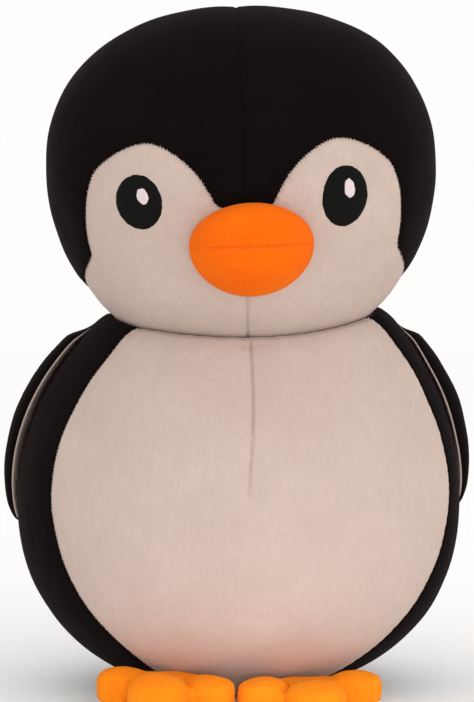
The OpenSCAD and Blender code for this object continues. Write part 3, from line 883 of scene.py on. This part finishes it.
def wing(name, side, outer):
    v = np.sin(np.linspace(0, 1, 61) * math.pi / 2) ** 1.15
    u = np.sin(np.linspace(-1, 1, 61) * math.pi / 2)
    u, v = np.broadcast_arrays(u[None, :], v[:, None])
    fill = batting(u, v)
    thin = 0.45 * np.maximum(np.abs(u) ** 6, past(v, 0.9, 0.1))
    cloth = WING_CLOTH * (1 - thin) * (0.25 + 0.75 * past_root(v))
    plain = wing_at(side, u, v, 0)
    bumps = (0.3 * waves(plain, 30, 51) + 0.12 * waves(plain, 10, 52)) * (fill / WING_T)
    way = 1 if outer else -1
    skin = wing_at(side, u, v, way * (fill + cloth + bumps))
    inside = wing_at(side, u, v, way * (fill * 0.98))
    grids = (skin, inside) if outer else (inside, skin)
    return sheet(name, *grids, BLACK if outer else WHITE, last=True)


for word, side in SIDES:
    for part, slot in (("outer", "black_plush"), ("lining", "white_plush")):
        name = "wing_%s_%s" % (word, part)
        finish(wing(name + "_skin", side, part == "outer"), "wing_" + word, slot, name, fill=0.5)

# ---- feet ----

# Middle of a foot, shift of both feet, height of the seam, and of the toes above it.
FOOT_X, FOOT_SHIFT, FOOT_Y, SEAM_Z, TOE_HIGH = 37.6, -5.5, MID_Y - 83.6, 15.5, 13.5
# The palm, then the toes: direction, distance, half length, half width, share of the height.
LOBES = {
    1: ((10, 14, 26, 25, 0.47), (-43, 30, 19, 15.5, 0.97), (17, 39, 20, 19, 1.0), (96, 39.5, 18, 15, 0.9)),
    -1: ((10, 14, 26, 25, 0.42), (-43, 30, 19, 15.5, 0.7), (17, 39, 20, 19, 1.0), (96, 33, 18, 15, 0.8)),
}
# Share of the height that each foot has, share that is left between its toes, and depth of a crease.
LOW = {1: 0.83, -1: 1.0}
WEB, CREASE = 0.6, 1.7


def foot_reach(side, a):
    """How far the foot reaches at angle a round its middle: the farthest of the lobes, blended."""
    parts = []
    for way, c, la, lb, _ in LOBES[side]:
        x, y = cosd(a - way), sind(a - way)
        q, h = x * x / la**2 + y * y / lb**2, c * x / la**2
        inside = h * h - q * (c * c / la**2 - 1)
        parts.append(np.where(inside < 0, 1e-3, (h + np.sqrt(np.maximum(0, inside))) / q))
    return sum(np.maximum(part, 1e-3) ** 16 for part in parts) ** (1 / 16)


def foot_full(side, a, s, reach):
    """Height share of the foot, and how deep in a crease between two lobes a point is."""
    r = np.minimum(s, 0.9995) * reach
    parts = []
    for way, c, la, lb, high in LOBES[side]:
        x, y = r * cosd(a - way) - c, r * sind(a - way)
        parts.append(high * np.maximum(0, 1 - (x / la) ** 2 - (y / lb) ** 2) ** 0.4)
    highest, second = np.sort(np.stack(parts), axis=0)[:-3:-1]
    parts.append(WEB * np.sqrt(1 - s * s) + 0 * a)
    full = sum(part**12 for part in parts) ** (1 / 12)
    return full, bell(highest - second, 0.09) * past(second, 0.15, 0.3)


def foot_at(s, a, top, inset, side):
    """Point of the foot at share s of its reach, on its top or its sole."""
    reach = foot_reach(side, a)
    full, crease = foot_full(side, a, s, reach)
    full = full * (s < 1)
    r = s * (reach - inset) - 0.9 * bell((1 - s) * reach, 1.5) * (inset == 0)
    high = (TOE_HIGH - inset) * full if top else -(SEAM_Z - 0.5 - inset) * full**0.5
    p = np.stack([FOOT_X + r * sind(a), FOOT_Y - r * cosd(a), SEAM_Z + high], axis=-1)
    if inset == 0 and top:
        bumps = 0.35 * waves(p, 24, 61) + 0.16 * waves(p, 8, 62)
        p[..., 2] += bumps * smooth(full * 2)
    if top:
        p[..., 2] -= CREASE * crease
    p[..., 2] = np.maximum(p[..., 2], 0.5)
    return p * [side, 1, LOW[side]] + [FOOT_SHIFT, 0, 0]


def foot(name, side, top):
    s = outward_steps(64, 1.5)
    if not top:
        s = s[::-1]
    s, a = np.broadcast_arrays(s[:, None], np.arange(0, 360, 1.25)[None, :])
    out, inn = foot_at(s, a, top, 0.0, side), foot_at(s, a, top, PLUSH, side)
    if side < 0:
        out, inn = out[:, ::-1], inn[:, ::-1]
    # The feet take the orange plush painted lighter, for the light that falls on the toes.
    return sheet(name, out, inn, ORANGE_PAINTED_LIGHTER, first=top, last=not top, ring=True)


for word, side in SIDES:
    for part in ("top", "sole"):
        name = "foot_%s_%s" % (word, part)
        finish(foot(name + "_skin", side, part == "top"), "foot_" + word, "orange_plush", name, fill=0.8)

# ---- pieces kept from the CAD ----


def cover(obj, material):
    if not obj.material_slots:
        obj.data.materials.append(material)
    for slot in obj.material_slots:
        slot.material = material


for name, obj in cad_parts.items():
    if name.endswith("filling"):
        cover(obj, FIBRE)
    elif name == "closing_stitches":
        cover(obj, SEW_BLACK)

# ---- floor, light and camera, in metres ----

FLOOR_HALF = 6
# Lens in mm, distance from the toy, angle round it, and height of the camera and of its target.
LENS, DISTANCE, YAW = 116.6, 1.5, math.radians(-2.0)
CAMERA_X, CAMERA_Z, TARGET_Z = -0.0017, 0.28, 0.2243


def floor():
    mat, tree, bsdf = nodes_of("floor_pale")
    coord = add(tree, "ShaderNodeTexCoord").outputs["Object"]
    pale = mix(tree, noise(tree, coord, 6.0), (0.975, 0.972, 0.97), (0.985, 0.983, 0.98))
    tree.links.new(pale, bsdf.inputs["Base Color"])
    bsdf.inputs["Roughness"].default_value = 0.9
    bsdf.inputs["Specular IOR Level"].default_value = 0.1
    obj = bpy.data.objects.new("floor", bpy.data.meshes.new("floor"))
    h = FLOOR_HALF
    obj.data.from_pydata([(-h, -h, 0), (h, -h, 0), (h, h, 0), (-h, h, 0)], [], [(0, 1, 2, 3)])
    obj.data.materials.append(mat)
    bpy.context.scene.collection.objects.link(obj)


def aim(obj, place, target):
    obj.location = place
    obj.rotation_euler = (Vector(target) - Vector(place)).to_track_quat("-Z", "Y").to_euler()
    bpy.context.scene.collection.objects.link(obj)


def light(name, place, target, size, power, colour, spread=180):
    data = bpy.data.lights.new(name, "AREA")
    data.size = size
    data.spread = math.radians(spread)
    data.energy = power
    data.color = colour
    aim(bpy.data.objects.new(name, data), place, target)


floor()

world = bpy.data.worlds.new("studio")
bpy.context.scene.world = world
world.use_nodes = True
world.node_tree.nodes["Background"].inputs["Color"].default_value = (1.0, 0.99, 0.98, 1)
world.node_tree.nodes["Background"].inputs["Strength"].default_value = 1.0

light("key", (1.6, -2.0, 1.6), (0, 0, 0.25), 1.6, 7.0, (1.0, 0.97, 0.95))
light("front_fill", (0.6, -1.9, 0.2), (0, 0, 0.28), 1.3, 8.2, (1.0, 0.98, 0.97))
light("low_fill", (0.1, -1.3, 0.05), (0, 0, -0.06), 0.3, 0.09, (1.0, 0.98, 0.97), 16)

bpy.context.scene.view_settings.view_transform = "Standard"
camera = bpy.data.objects.new("camera", bpy.data.cameras.new("camera"))
camera.data.lens = LENS
camera.data.sensor_width = 36.0
aim(camera, (CAMERA_X + math.sin(YAW) * DISTANCE, -math.cos(YAW) * DISTANCE, CAMERA_Z),
    (CAMERA_X, 0, TARGET_Z))
bpy.context.scene.camera = camera
